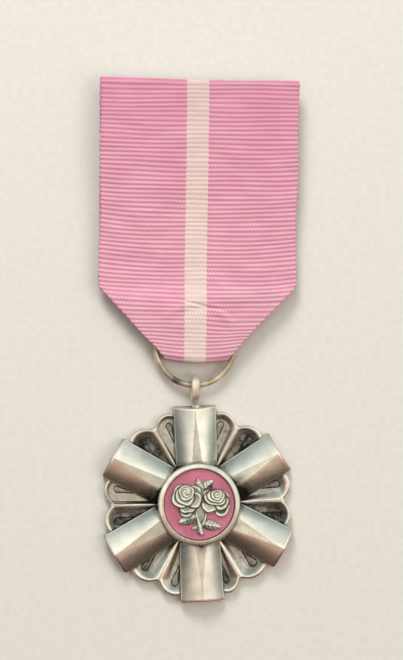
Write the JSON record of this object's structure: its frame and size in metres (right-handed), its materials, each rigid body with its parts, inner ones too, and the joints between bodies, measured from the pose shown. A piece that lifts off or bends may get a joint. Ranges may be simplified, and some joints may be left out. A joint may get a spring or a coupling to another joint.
{
  "type": "commemorative medal",
  "caption": "Silvered star medal with raised arms over a petalled rosette, a pink enamel centre with a rose sprig, and a folded pink ribbon on a ring.",
  "frame": {"origin": "centre of the star's flat back, on the surface that the medal lies on", "axes": "+Y from the star up the ribbon, +Z out of the medal's face, +X to the right seen from the face"},
  "size_m": [0.036, 0.0939, 0.0047],
  "materials": {
    "antique_silver": "struck and silvered, darkened in the hollows, polished on the high places",
    "polished_silver": "silvered and polished rim",
    "pink_enamel": "fired vitreous enamel with fine specks",
    "oxidised_silver": "cast relief, dark in the recesses and bright on the petals",
    "dull_silver": "drawn wire with a warm tarnish",
    "ribbon_cloth": "ribbed woven ribbon, pink with a pale centre stripe",
    "plain_steel": "plain nickel-plated brooch pin"
  },
  "bodies": {
    "root": {"star": "antique_silver", "medallion": "polished_silver", "enamel": "pink_enamel", "rose_relief": "oxidised_silver", "ring": "dull_silver", "ribbon": "ribbon_cloth", "brooch_pin": "plain_steel"}
  },
  "joints": []
}
